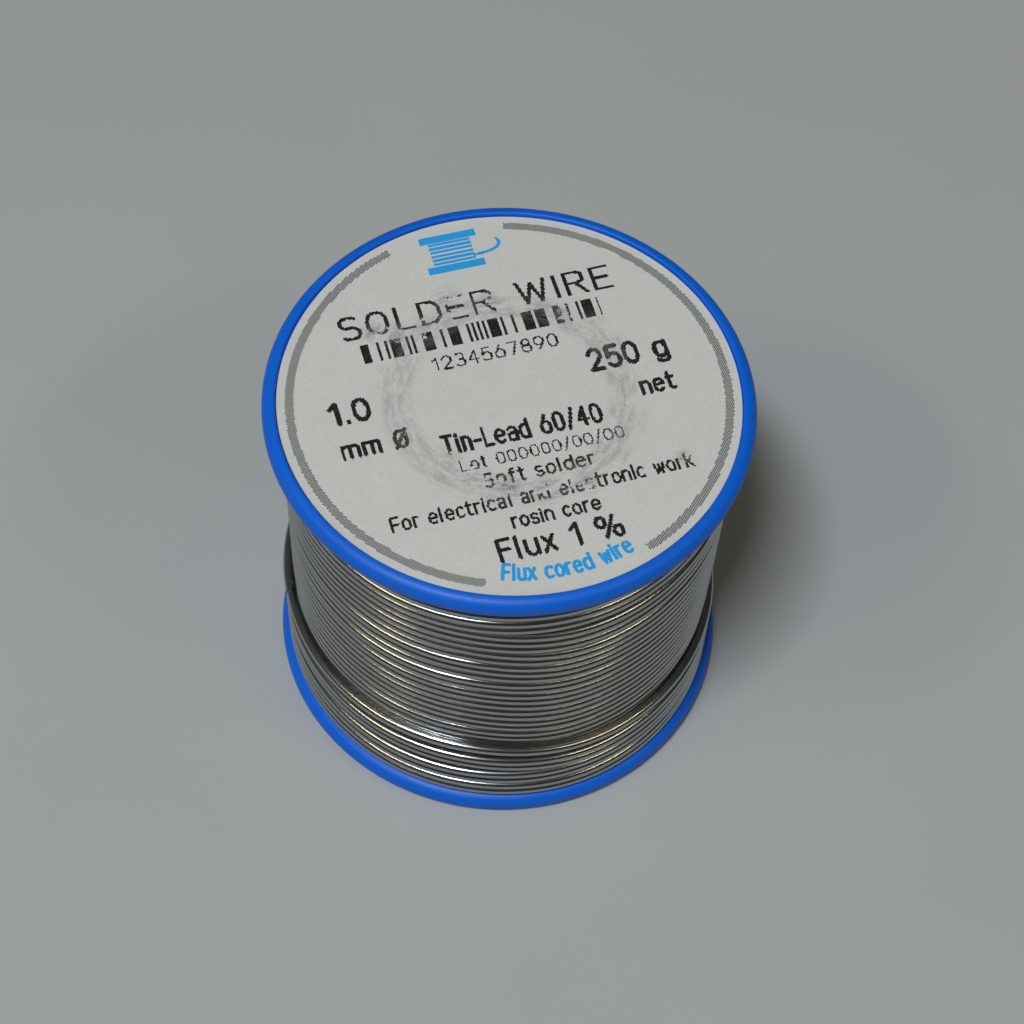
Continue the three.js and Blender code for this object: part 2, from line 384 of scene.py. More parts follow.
def solder_look():
    """Drawn tin-lead wire: fine lengthwise die lines and slow changes of tint and gloss."""
    look = Look("drawn_solder")
    along = look.add("UVMap", {}, uv_map="along_wire")
    lines = look.add("VectorMath", {0: along, 1: (0.35, 14, 1)}, operation="MULTIPLY")
    streak = look.noise(lines, 1.0, 3, 0.6)
    patches = look.add("VectorMath", {0: along, 1: (0.9, 2, 1)}, operation="MULTIPLY")
    patch = look.noise(patches, 1.0, 3, 0.5)
    specks = look.add("VectorMath", {0: along, 1: (9, 6, 1)}, operation="MULTIPLY")
    speck = look.between(look.noise(specks, 2.0, 4, 0.75), 0.66, 0.76)
    colour = look.mix(patch, rgb(0.40, 0.41, 0.415), rgb(0.50, 0.51, 0.51))
    colour = look.mix(look.math("MULTIPLY", speck, 0.3), colour, rgb(0.30, 0.30, 0.29))
    roughness = look.math("MULTIPLY_ADD", streak, 0.05, 0.14)
    roughness = look.math("MULTIPLY_ADD", patch, 0.08, roughness)
    look.surface(Base_Color=colour, Metallic=1.0, Roughness=roughness)
    grooves = look.bump(streak, 0.0012, 0.25)
    look.surface(Normal=look.bump(speck, -0.001, 0.2, grooves))
    return look.material


def cad_solder_look():
    """The same alloy on the plain sleeves of the hidden inner layers."""
    look = Look("inner_solder")
    place = look.place()
    height = look.add("SeparateXYZ", {0: place}, "Z")
    turn = look.math("MULTIPLY", height, 2 * math.pi / TURN_PITCH)
    ridge = look.math("ABSOLUTE", look.math("COSINE", look.math("MULTIPLY", turn, 0.5)))
    patch = look.noise(place, 0.7, 4, 0.6)
    look.surface(Base_Color=look.mix(patch, rgb(0.45, 0.45, 0.43), rgb(0.6, 0.595, 0.57)))
    look.surface(Metallic=1.0, Roughness=look.math("MULTIPLY_ADD", patch, 0.2, 0.22))
    look.surface(Normal=look.bump(ridge, 0.3))
    return look.material


def flux_look():
    look = Look("rosin_flux")
    place = look.place()
    cloud = look.noise(place, 8.0, 3)
    look.surface(Base_Color=look.mix(cloud, rgb(0.33, 0.16, 0.03), rgb(0.55, 0.33, 0.10)))
    look.surface(Roughness=look.math("MULTIPLY_ADD", cloud, 0.2, 0.12))
    look.surface(IOR=1.54)
    return look.material


def floor_look():
    look = Look("studio_floor")
    place = look.place()
    tone = look.noise(place, 0.02, 3)
    look.surface(Base_Color=look.mix(tone, rgb(0.435, 0.457, 0.475), rgb(0.48, 0.502, 0.52)))
    look.surface(Roughness=0.8, Specular_IOR_Level=0.2)
    return look.material


plastic = plastic_look()
paper = paper_look()
solder = solder_look()
inner_solder = cad_solder_look()
flux = flux_look()

# ---------------------------------------------------------------------------------------------
# Spool
# ---------------------------------------------------------------------------------------------

ANCHOR = (lowest("wire_start") + highest("wire_start")) / 2
ANCHOR_HOLE_RADIUS = 0.8
HOLE_CHAMFER = 0.12
EJECTOR_MARKS = 3
EJECTOR_MARK_RADIUS = 1.6
EJECTOR_MARK_DEPTH = 0.06
EJECTOR_CIRCLE = 15.5


def cut(piece, cutters):
    """Cuts the cutters out of a piece and removes them."""
    for cutter in cutters:
        modifier = piece.modifiers.new("cut", "BOOLEAN")
        modifier.operation = "DIFFERENCE"
        modifier.solver = "EXACT"
        modifier.object = cutter
    graph = bpy.context.evaluated_depsgraph_get()
    mesh = bpy.data.meshes.new_from_object(piece.evaluated_get(graph))
    mesh.shade_smooth()
    mesh.set_sharp_from_angle(angle=math.radians(SHARP_ANGLE))
    piece.modifiers.clear()
    piece.data = mesh
    for cutter in cutters:
        bpy.data.objects.remove(cutter)


def pin_mesh(name, x, y, rings, sides=40):
    """An upright round pin through rings of (radius, height), from its lower end up."""
    points = []
    for r, z in rings:
        for i in range(sides):
            angle = 2 * math.pi * i / sides
            points.append((x + r * math.cos(angle), y + r * math.sin(angle), z))
    faces = [tuple(reversed(range(sides)))]
    for ring in range(len(rings) - 1):
        for i in range(sides):
            k = (i + 1) % sides
            a, b = ring * sides, (ring + 1) * sides
            faces.append((a + i, a + k, b + k, b + i))
    last = (len(rings) - 1) * sides
    faces.append(tuple(last + i for i in range(sides)))
    return mesh_from(name, points, faces)


def pin_cutter(x, y, rings):
    cutter = bpy.data.objects.new("cutter", pin_mesh("cutter", x, y, rings))
    bpy.context.scene.collection.objects.link(cutter)
    return cutter


def lower_shell():
    outline = rounded([
        (FOOT_INNER - RECESS_DRAFT, FACE_RECESS, 0.12),
        (FOOT_INNER, 0, 0.10),
        (FLANGE_RADIUS, 0, RIM_ROUNDING * 0.999),
        (FLANGE_RADIUS, RIM_THICKNESS, RIM_ROUNDING * 0.999),
        (HUB_RADIUS, RIM_THICKNESS, HUB_FILLET),
        (HUB_RADIUS, JOINT_HEIGHT, 0.08),
        (SPIGOT_RADIUS, JOINT_HEIGHT, 0.04),
        (SPIGOT_RADIUS, SPIGOT_TOP, 0.15),
        (BORE_RADIUS, SPIGOT_TOP, 0.06),
        (BORE_RADIUS, FACE_RECESS, BORE_MOUTH_ROUNDING),
    ])
    mesh = turned_mesh("spool_lower_shell", outline)
    shell = add_piece(
        "spool_lower_shell", mesh, plastic, replaced=["lower_spool_half"]
    )
    hole = [
        (ANCHOR_HOLE_RADIUS + HOLE_CHAMFER, 0),
        (ANCHOR_HOLE_RADIUS + HOLE_CHAMFER, FACE_RECESS),
        (ANCHOR_HOLE_RADIUS, FACE_RECESS + HOLE_CHAMFER),
        (ANCHOR_HOLE_RADIUS, RIM_THICKNESS + 1),
    ]
    cutters = [pin_cutter(ANCHOR.x, ANCHOR.y, hole)]
    for i in range(EJECTOR_MARKS):
        angle = math.radians(95 + i * TURN / EJECTOR_MARKS)
        x, y = EJECTOR_CIRCLE * math.cos(angle), EJECTOR_CIRCLE * math.sin(angle)
        mark = [(EJECTOR_MARK_RADIUS, 0), (EJECTOR_MARK_RADIUS, FACE_RECESS + EJECTOR_MARK_DEPTH)]
        cutters.append(pin_cutter(x, y, mark))
    cut(shell, cutters)


def upper_shell():
    face = SPOOL_HEIGHT - FACE_RECESS
    inner_face = SPOOL_HEIGHT - RIM_THICKNESS
    crest = LABEL_RADIUS + 0.1
    outline = rounded([
        (SPIGOT_RADIUS + JOINT_GAP, JOINT_HEIGHT + JOINT_GAP, 0.04),
        (HUB_RADIUS, JOINT_HEIGHT + JOINT_GAP, 0.08),
        (HUB_RADIUS, inner_face, HUB_FILLET),
        (FLANGE_RADIUS, inner_face, RIM_ROUNDING),
        (FLANGE_RADIUS, SPOOL_HEIGHT, RIM_ROUNDING * 0.86),
        (crest, SPOOL_HEIGHT, 0.2),
        (crest - 0.03, face, 0.03),
        (BORE_RADIUS, face, BORE_MOUTH_ROUNDING),
        (BORE_RADIUS, SPIGOT_TOP + JOINT_GAP, 0.04),
        (SPIGOT_RADIUS + JOINT_GAP, SPIGOT_TOP + JOINT_GAP, 0.04),
    ])
    mesh = turned_mesh("spool_upper_shell", outline)
    add_piece(
        "spool_upper_shell", mesh, plastic, replaced=["upper_spool_half"]
    )


lower_shell()
upper_shell()

# ---------------------------------------------------------------------------------------------
# Winding
# ---------------------------------------------------------------------------------------------

FRONT_STEP = (240, 276)
BACK_STEP = (20, 85)
SEGMENTS_PER_TURN = 150
BACK_STEPPING_TURNS = 5  # the first turns step down at the back, the others at the front
SHORT_FRONT_STEPS = 3
SHORT_FRONT_STEP = 0.75
LAYER_CLIMB = (40, 95)  # between these angles, a layer's first turn climbs from the layer below
LAYER_STOP = 340  # where a layer's last turn ends
FLANGE_CLEARANCE = 0.02
INNER_LAYERS = 10  # they keep their CAD meshes

# How the wire strays from its path: (it changes every so many degrees, reach either way)
HEIGHT_WANDER = (37, 0.022)
RADIUS_WANDER = (53, 0.018)
PART_HEIGHT_WANDER = (41, 0.02)
PART_RADIUS_WANDER = (47, 0.015)
WANDER_FADE = 40  # it fades over this angle towards the free end

# How far a turn stands out at the front, by its number
PROUD_TURNS = {3: 0.05, 4: 0.06, 10: 0.05, 13: 0.13, 15: 0.05, 22: 0.04}

# Small dents in the wire: (turn, angle, depth)
NICKS = [(10, 251, 0.05), (9, 245, 0.04), (9, 265, 0.04), (24, 248, 0.06)]
NICK_REACH = 1.5

# Where the winding isn't round: (angle, reach in degrees, offsets at heights)
SWELLS = [
    (350, 32, [(3, -0.15), (10.5, -0.25), (12, 0), (17, 0.15), (22, 0.25), (38, 0.2)]),
    (275, 30, [(3.2, 0.2), (5, 0.05), (7, 0)]),
]

PART_LEFT = [3.1, 4.3, 5.4, 6.6, 8.45, 9.55, 11.6]
PART_RIGHT = [3.1, 4.15, 5.25, 6.25, 7.4, 8.6, 10.4]
PART_FRONT_STEP = (238, 282)
PART_BACK_STEP = (85, 150)
PART_CLIMB = (-20, 50)  # between these angles, the part layer climbs from the layer below
LAST_STEP = (50, 112)  # the last turn climbs to the free end
PART_PROUD_TURNS = {1: 0.10, 3: 0.12, 5: 0.10}
PROUD_AT = 238  # where such turns stand out most
PROUD_REACH = 38


def eased(values, keys):
    """Heights at angles, level between keys (angle, height) and eased from one to the next."""
    angles = np.array([k[0] for k in keys], float)
    heights = np.array([k[1] for k in keys], float)
    after = np.clip(np.searchsorted(angles, values), 1, len(keys) - 1)
    share = (values - angles[after - 1]) / (angles[after] - angles[after - 1])
    share = np.clip(share, 0, 1)
    share = share * share * (3 - 2 * share)
    return heights[after - 1] + (heights[after] - heights[after - 1]) * share


def wander(values, period, reach, seed):
    """A smooth random offset that changes every period degrees, at most reach either way."""
    draw = random.Random(seed)
    count = int((values[-1] - values[0]) / period) + 3
    keys = [(values[0] + i * period, draw.uniform(-reach, reach)) for i in range(count)]
    return eased(values, keys)


def swell(angles, heights):
    """How far the winding stands proud of a true cylinder."""
    offset = np.zeros(len(angles))
    for middle, reach, keys in SWELLS:
        apart = (angles - middle + TURN / 2) % TURN - TURN / 2
        offset += eased(heights, keys) * np.exp(-((apart / reach) ** 2))
    return offset


def rise(angles, middle, reach, height):
    """A bell-shaped offset round one angle."""
    return height * np.exp(-((angles - middle) / reach) ** 2)


def round_path(angles, radii, heights):
    theta = np.radians(angles)
    return np.stack([radii * np.cos(theta), radii * np.sin(theta), heights], 1)


def full_layer_keys(offset=0.0):
    """Heights of a full layer's turns, from the top down, as the wire runs round."""
    keys = []
    left = FIRST_TURN_HEIGHT + offset
    for turn in range(TURN_COUNT):
        base = turn * TURN
        if turn < BACK_STEPPING_TURNS:
            front = 0
        elif turn < BACK_STEPPING_TURNS + SHORT_FRONT_STEPS:
            front = SHORT_FRONT_STEP
        else:
            front = TURN_PITCH
        keys.append((base + FRONT_STEP[0], left))
        keys.append((base + FRONT_STEP[1], left - front))
        keys.append((base + TURN + BACK_STEP[0], left - front))
        left = FIRST_TURN_HEIGHT + offset - (turn + 1) * TURN_PITCH
        keys.append((base + TURN + BACK_STEP[1], left))
    return keys


def full_layer(number, radius, offset, sides, seed):
    stop = (TURN_COUNT - 1) * TURN + LAYER_STOP
    angles = np.arange(LAYER_CLIMB[0], stop, TURN / SEGMENTS_PER_TURN)
    heights = eased(angles, full_layer_keys(offset))
    heights += wander(angles, *HEIGHT_WANDER, seed)
    radii = radius + wander(angles, *RADIUS_WANDER, seed + 1) + swell(angles, heights)
    for turn, proud in PROUD_TURNS.items():
        radii += rise(angles, turn * TURN + PROUD_AT, PROUD_REACH, proud)
    radii += eased(angles, [(LAYER_CLIMB[0], -LAYER_PITCH), (LAYER_CLIMB[1], 0)])
    for turn, angle, depth in NICKS:
        radii -= rise(angles, turn * TURN + angle, NICK_REACH, depth)
    floor = RIM_THICKNESS + WIRE_RADIUS + FLANGE_CLEARANCE
    ceiling = SPOOL_HEIGHT - RIM_THICKNESS - WIRE_RADIUS - FLANGE_CLEARANCE
    heights = np.clip(heights, floor, ceiling)
    name = f"winding_layer_{number:02d}"
    mesh = tube_mesh(name + "_wire", round_path(angles, radii, heights), sides)
    add_piece(name + "_wire", mesh, solder, replaced=[name])


def part_layer_keys():
    keys = []
    for turn, (left, right) in enumerate(zip(PART_LEFT, PART_RIGHT)):
        base = turn * TURN
        keys.append((base + PART_BACK_STEP[1], left))
        keys.append((base + PART_FRONT_STEP[0], left))
        keys.append((base + PART_FRONT_STEP[1], right))
        keys.append((base + TURN + PART_BACK_STEP[0], right))
    keys[-1] = (base + TURN + LAST_STEP[0], right)
    keys.append((base + TURN + LAST_STEP[1], HINGE.z))
    return keys


LAST_TURN = (len(PART_LEFT) - 1) * TURN
HINGE_TURNED = LAST_TURN + TURN + HINGE_ANGLE  # angle run through when the wire gets there
ROOT_BEFORE_HINGE = 9  # the free end's mesh starts this angle before the hinge
ROOT_ANGLE = HINGE_TURNED - ROOT_BEFORE_HINGE
OUTER_WIRE_SIDES = 18  # of the part layer and the free end, which meet
CORE_SIDES = 16


def part_layer():
    start, climbed = PART_CLIMB
    angles = np.arange(start, ROOT_ANGLE + 0.01, TURN / SEGMENTS_PER_TURN)
    angles[-1] = ROOT_ANGLE
    heights = eased(angles, part_layer_keys())
    fade = np.clip((ROOT_ANGLE - angles) / WANDER_FADE, 0, 1)
    heights += wander(angles, *PART_HEIGHT_WANDER, 31) * fade
    radii = eased(angles, [(start, OUTER_LAYER_RADIUS), (climbed, PART_LAYER_RADIUS)])
    radii = radii + wander(angles, *PART_RADIUS_WANDER, 32) * fade + swell(angles, heights)
    radii += (HINGE_RADIUS - PART_LAYER_RADIUS) * np.clip(angles / ROOT_ANGLE, 0, 1)
    for turn, proud in PART_PROUD_TURNS.items():
        radii += rise(angles, turn * TURN + PROUD_AT, PROUD_REACH, proud)
    path = round_path(angles, radii, heights)
    mesh = tube_mesh("winding_part_layer_wire", path, OUTER_WIRE_SIDES)
    add_piece(
        "winding_part_layer_wire", mesh, solder, replaced=["winding_part_layer"]
    )


full_layer(11, OUTER_LAYER_RADIUS - LAYER_PITCH, -TURN_PITCH / 2, sides=10, seed=11)
full_layer(12, OUTER_LAYER_RADIUS, 0, sides=14, seed=12)
part_layer()

for number in range(1, INNER_LAYERS + 1):
    node = frame["nodes"][f"winding_layer_{number:02d}"]
    node.data.materials.clear()
    node.data.materials.append(inner_solder)

# ---------------------------------------------------------------------------------------------
# Free end, flux core and the wire's start
# ---------------------------------------------------------------------------------------------

TIP_TURNED = 57.5
TIP_ANGLE = HINGE_TURNED + TIP_TURNED
END_LIFT = 0.1
CUT_SLANT = 1.1  # the cut is slanted: its outer side reaches further by this share
CORE_RADIUS = 0.16
CORE_PROUD = 0.03


def free_end_path(angles):
    share = np.clip((angles - HINGE_TURNED) / (TIP_ANGLE - HINGE_TURNED), 0, 1)
    radii = HINGE_RADIUS + END_LIFT * share * share
    return round_path(angles, radii, np.full(len(angles), HINGE.z))


def slant_end(mesh, sides):
    """Slants the cut face at the end of a tube."""
    angle = math.radians(TIP_ANGLE)
    outward = Vector((math.cos(angle), math.sin(angle), 0))
    along = Vector((-math.sin(angle), math.cos(angle), 0))
    last = mesh.vertices[len(mesh.vertices) - sides:]
    middle = sum((v.co for v in last), Vector()) / sides
    for v in last:
        v.co += along * (CUT_SLANT * outward.dot(v.co - middle))


def free_end():
    angles = np.linspace(ROOT_ANGLE, TIP_ANGLE, 90)
    mesh = tube_mesh("wire_free_end_wire", free_end_path(angles), OUTER_WIRE_SIDES)
    slant_end(mesh, OUTER_WIRE_SIDES)
    piece = add_piece("wire_free_end_wire", mesh, solder, body=None)
    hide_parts("wire_free_end")
    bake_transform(piece)


def flux_core():
    """The rosin in the middle of the wire, a little proud of the cut."""
    proud = math.degrees(CORE_PROUD / HINGE_RADIUS)
    angles = np.linspace(TIP_ANGLE - 3, TIP_ANGLE + proud, 8)
    mesh = tube_mesh("flux_core_rosin", free_end_path(angles), CORE_SIDES, CORE_RADIUS)
    slant_end(mesh, CORE_SIDES)
    add_piece("flux_core_rosin", mesh, flux, "wire_end", ["flux_core"])


def wire_start():
    low, high = lowest("wire_start").z, highest("wire_start").z
    rings = [
        (WIRE_RADIUS - 0.12, low),
        (WIRE_RADIUS - 0.03, low + 0.04),
        (WIRE_RADIUS, low + 0.12),
        (WIRE_RADIUS, high),
    ]
    mesh = pin_mesh("wire_start_stub", ANCHOR.x, ANCHOR.y, rings)
    add_piece("wire_start_stub", mesh, inner_solder, replaced=["wire_start"])


free_end()
flux_core()
wire_start()

# ---------------------------------------------------------------------------------------------
# Label and its print
# ---------------------------------------------------------------------------------------------

LABEL_SEGMENTS = 240
EDGE_LIFT = 0.07  # the paper's edge stands off the plastic here and there
EDGE_LIFT_FROM = 20.3
PRINT_LIFT = 0.012
PRINT_SINK = 0.03


def label_disc():
    """A closed disc of paper with a slightly lifted, uneven edge."""
    rings = [4, 8, 12, 16, 19, EDGE_LIFT_FROM, 20.6, 20.85, LABEL_RADIUS - 0.03]
    draw = random.Random(5)
    waves = [(draw.randint(2, 9), draw.uniform(0, 2 * math.pi)) for _ in range(6)]

    def lift(radius, angle):
        share = max(0, (radius - EDGE_LIFT_FROM) / (LABEL_RADIUS - EDGE_LIFT_FROM))
        wave = sum(math.sin(n * angle + shift) for n, shift in waves) / len(waves)
        return EDGE_LIFT * share * share * (0.5 + wave)

    points = []
    for side in (LABEL_TOP, LABEL_BOTTOM):
        points.append((0, 0, side))
        for radius in rings:
            for i in range(LABEL_SEGMENTS):
                angle = 2 * math.pi * i / LABEL_SEGMENTS
                edge = radius + (0.02 * math.sin(7 * angle) if radius == rings[-1] else 0)
                x, y = edge * math.cos(angle), edge * math.sin(angle)
                points.append((x, y, side + lift(radius, angle)))
    half = 1 + len(rings) * LABEL_SEGMENTS
    faces = []
    for i in range(LABEL_SEGMENTS):
        k = (i + 1) % LABEL_SEGMENTS
        faces.append((0, 1 + i, 1 + k))
        faces.append((half, half + 1 + k, half + 1 + i))
        for ring in range(len(rings) - 1):
            a, b = 1 + ring * LABEL_SEGMENTS, 1 + (ring + 1) * LABEL_SEGMENTS
            faces.append((a + i, b + i, b + k, a + k))
            faces.append((half + a + i, half + a + k, half + b + k, half + b + i))
        rim = 1 + (len(rings) - 1) * LABEL_SEGMENTS
        faces.append((rim + i, half + rim + i, half + rim + k, rim + k))
    mesh = mesh_from("label_disc", points, faces, sharp_angle=60)
    add_piece("label_disc", mesh, paper, replaced=["top_label"])


def arc(x, y, rx, ry, start=0, stop=360):
    """Points of a slightly squared arc, from one angle to another."""
    count = max(3, round(abs(stop - start) / 15))
    points = []
    for i in range(count + 1):
        angle = math.radians(start + (stop - start) * i / count)
        across, up = math.cos(angle), math.sin(angle)
        across = math.copysign(abs(across) ** 0.85, across)
        up = math.copysign(abs(up) ** 0.85, up)
        points.append((x + rx * across, y + ry * up))
    return points


# A plain alphabet of even strokes: a letter's width and its strokes, for capitals 1 high
O_WIDE = arc(0.28, 0.5, 0.28, 0.5)
O_SMALL = arc(0.26, 0.36, 0.26, 0.36)
HUMP = arc(0.23, 0.5, 0.23, 0.22, 180, 0) + [(0.46, 0)]
STEM = [(0, 0), (0, 0.72)]
LETTERS = {
    " ": (0.26, []),
    ".": (0.08, [[(0.04, 0), (0.04, 0.05)]]),
    "-": (0.34, [[(0, 0.4), (0.34, 0.4)]]),
    "/": (0.40, [[(0, -0.08), (0.4, 1.08)]]),
    "%": (1.04, [arc(0.18, 0.76, 0.18, 0.24), arc(0.86, 0.24, 0.18, 0.24), [(0.28, 0), (0.76, 1)]]),
    "0": (0.56, [O_WIDE]),
    "1": (0.32, [[(0, 0.76), (0.26, 1), (0.26, 0)]]),
    "2": (0.54, [arc(0.27, 0.72, 0.26, 0.28, 170, -35) + [(0, 0), (0.54, 0)]]),
    "3": (0.54, [arc(0.26, 0.76, 0.24, 0.24, 150, -90), arc(0.26, 0.26, 0.28, 0.26, 90, -150)]),
    "4": (0.58, [[(0.42, 0), (0.42, 1), (0, 0.3), (0.58, 0.3)]]),
    "5": (0.54, [[(0.5, 1), (0.06, 1), (0.03, 0.5)] + arc(0.27, 0.32, 0.27, 0.32, 130, -150)]),
    "6": (0.56, [arc(0.28, 0.32, 0.28, 0.32), [(0.02, 0.4), (0.34, 1)]]),
    "7": (0.54, [[(0, 1), (0.54, 1), (0.2, 0)]]),
    "8": (0.56, [arc(0.28, 0.76, 0.23, 0.24), arc(0.28, 0.27, 0.28, 0.27)]),
    "9": (0.56, [arc(0.28, 0.68, 0.28, 0.32), [(0.54, 0.6), (0.22, 0)]]),
    "D": (0.56, [[(0, 0), (0, 1), (0.2, 1)] + arc(0.2, 0.5, 0.36, 0.5, 90, -90) + [(0, 0)]]),
    "E": (0.48, [[(0.48, 1), (0, 1), (0, 0), (0.48, 0)], [(0, 0.52), (0.42, 0.52)]]),
    "F": (0.48, [[(0.48, 1), (0, 1), (0, 0)], [(0, 0.5), (0.42, 0.5)]]),
    "I": (0.06, [[(0.03, 0), (0.03, 1)]]),
    "L": (0.46, [[(0, 1), (0, 0), (0.46, 0)]]),
    "O": (0.58, [O_WIDE]),
    "R": (0.56, [
        [(0, 0), (0, 1), (0.3, 1)] + arc(0.3, 0.75, 0.24, 0.25, 90, -90) + [(0, 0.5)],
        [(0.28, 0.5), (0.56, 0)],
    ]),
    "S": (0.54, [arc(0.27, 0.76, 0.25, 0.24, 35, 270) + arc(0.27, 0.26, 0.27, 0.26, 90, -145)]),
    "T": (0.56, [[(0, 1), (0.56, 1)], [(0.28, 1), (0.28, 0)]]),
    "W": (0.84, [[(0, 1), (0.2, 0), (0.42, 0.9), (0.64, 0), (0.84, 1)]]),
    "Ø": (0.60, [O_WIDE, [(-0.04, -0.06), (0.6, 1.06)]]),
    "a": (0.48, [arc(0.23, 0.2, 0.23, 0.2), arc(0.23, 0.5, 0.25, 0.22, 150, 0) + [(0.48, 0)]]),
    "c": (0.46, [arc(0.26, 0.36, 0.26, 0.36, 50, 310)]),
    "d": (0.52, [O_SMALL, [(0.52, 0), (0.52, 1)]]),
    "e": (0.52, [[(0.02, 0.38)] + arc(0.26, 0.36, 0.26, 0.36, 5, 315)]),
    "f": (0.34, [[(0.12, 0)] + arc(0.3, 0.82, 0.18, 0.18, 180, 80), [(0, 0.7), (0.32, 0.7)]]),
    "g": (0.52, [O_SMALL, [(0.52, 0.72)] + arc(0.26, -0.04, 0.26, 0.2, 0, -150)]),
    "i": (0.06, [[(0.03, 0), (0.03, 0.72)], [(0.03, 0.92), (0.03, 0.98)]]),
    "k": (0.46, [[(0, 0), (0, 1)], [(0.43, 0.72), (0, 0.28)], [(0.16, 0.44), (0.46, 0)]]),
    "l": (0.12, [[(0.04, 1), (0.04, 0)]]),
    "m": (0.80, [
        STEM,
        arc(0.2, 0.5, 0.2, 0.22, 180, 0) + [(0.4, 0)],
        arc(0.6, 0.5, 0.2, 0.22, 180, 0) + [(0.8, 0)],
    ]),
    "n": (0.46, [STEM, HUMP]),
    "o": (0.52, [O_SMALL]),
    "r": (0.32, [STEM, arc(0.24, 0.48, 0.24, 0.24, 180, 80)]),
    "s": (0.44, [arc(0.22, 0.54, 0.2, 0.18, 35, 270) + arc(0.22, 0.18, 0.22, 0.18, 90, -145)]),
    "t": (0.32, [[(0.12, 1), (0.12, 0.1), (0.2, 0), (0.32, 0)], [(0, 0.72), (0.32, 0.72)]]),
    "u": (0.46, [[(0, 0.72)] + arc(0.23, 0.22, 0.23, 0.22, 180, 360), [(0.46, 0), (0.46, 0.72)]]),
    "w": (0.68, [[(0, 0.72), (0.17, 0), (0.34, 0.62), (0.51, 0), (0.68, 0.72)]]),
    "x": (0.46, [[(0, 0.72), (0.46, 0)], [(0, 0), (0.46, 0.72)]]),
}
LETTER_GAP = 0.28


def word_strokes(words, left, right, base, height):
    """The words' strokes as lists of points, from left to right on a base line."""
    natural = sum(LETTERS[letter][0] + LETTER_GAP for letter in words) - LETTER_GAP
    stretch = (right - left) / natural
    strokes = []
    x = left
    for letter in words:
        width, lines = LETTERS[letter]
        for line in lines:
            strokes.append([(x + px * stretch, base + py * height) for px, py in line])
        x += (width + LETTER_GAP) * stretch
    return strokes


def arched(stroke, radius):
    """Bends a stroke round the label's lower edge, with a height of 0 on a radius."""
    points = []
    for x, y in stroke:
        angle = -math.pi / 2 + x / radius
        points.append(((radius - y) * math.cos(angle), (radius - y) * math.sin(angle)))
    return points


class Sheet:
    """A square grid of printer's dots over the label."""

    def __init__(self, dot):
        self.dot = dot
        self.count = 2 * math.ceil(LABEL_RADIUS / dot)
        self.low = -self.count * dot / 2
        self.inked = np.zeros((self.count, self.count), bool)

    def centre(self, i):
        return self.low + (i + 0.5) * self.dot

    def near(self, low, high):
        """Row and column numbers of the dots in a box, and their centres."""
        first = np.floor((np.array(low) - self.low) / self.dot).astype(int)
        last = np.ceil((np.array(high) - self.low) / self.dot).astype(int)
        columns, rows = np.arange(first[0], last[0]), np.arange(first[1], last[1])
        xs, ys = np.meshgrid(self.centre(columns), self.centre(rows))
        return np.ix_(rows, columns), xs, ys

    def box(self, left, right, bottom, top):
        dots, xs, ys = self.near((left, bottom), (right, top))
        self.inked[dots] |= (xs > left) & (xs < right) & (ys > bottom) & (ys < top)

    def stroke(self, points, width):
        """A line of a width through points, with round ends."""
        points = np.array(points, float)
        for start, end in zip(points, points[1:]):
            low = np.minimum(start, end) - width
            high = np.maximum(start, end) + width
            dots, xs, ys = self.near(low, high)
            run = end - start
            share = ((xs - start[0]) * run[0] + (ys - start[1]) * run[1]) / (run @ run + 1e-9)
            share = np.clip(share, 0, 1)
            apart = np.hypot(xs - start[0] - share * run[0], ys - start[1] - share * run[1])
            self.inked[dots] |= apart < width / 2

    def rub(self, seed):
        """Drops dots where the label is smudged."""
        draw = random.Random(seed)
        for j, i in np.argwhere(self.inked):
            x, y = self.centre(i), self.centre(j)
            worn = 0
            for sx, sy, radius, dark in SMUDGES:
                share = 1 - math.hypot(x - sx, y - sy) / (radius * 1.1)
                worn = max(worn, dark * min(1, max(0, share) * 2.2))
            patchy = 0.5 + 0.9 * noise.noise(Vector((x * 1.3, y * 1.3, seed)))
            if worn * patchy > draw.uniform(0.25, 0.6):
                self.inked[j, i] = False

    def piece(self, name, material, seed):
        """The inked dots as one thin raised layer, with slightly uneven dots."""
        draw = random.Random(seed)
        points = []
        numbers = {}
        faces = []

        def corner(j, i, up):
            if (j, i, up) not in numbers:
                if (j, i, not up) in numbers:
                    x, y, _ = points[numbers[j, i, not up]]
                else:
                    x = self.low + (i + draw.uniform(-0.16, 0.16)) * self.dot
                    y = self.low + (j + draw.uniform(-0.16, 0.16)) * self.dot
                numbers[j, i, up] = len(points)
                points.append((x, y, LABEL_TOP + (PRINT_LIFT if up else -PRINT_SINK)))
            return numbers[j, i, up]

        for j, i in np.argwhere(self.inked):
            around = [(j, i), (j, i + 1), (j + 1, i + 1), (j + 1, i)]
            faces.append([corner(*c, True) for c in around])
            faces.append([corner(*c, False) for c in reversed(around)])
            beside = [(j - 1, i), (j, i + 1), (j + 1, i), (j, i - 1)]
            for side, (nj, ni) in enumerate(beside):
                if not self.inked[nj, ni]:
                    a, b = around[side], around[(side + 1) % 4]
                    faces.append([
                        corner(*a, False),
                        corner(*b, False),
                        corner(*b, True),
                        corner(*a, True),
                    ])
        mesh = mesh_from(name, points, faces)
        add_piece(name, mesh, material)


THERMAL_DOT = 0.125
OFFSET_DOT = 0.07

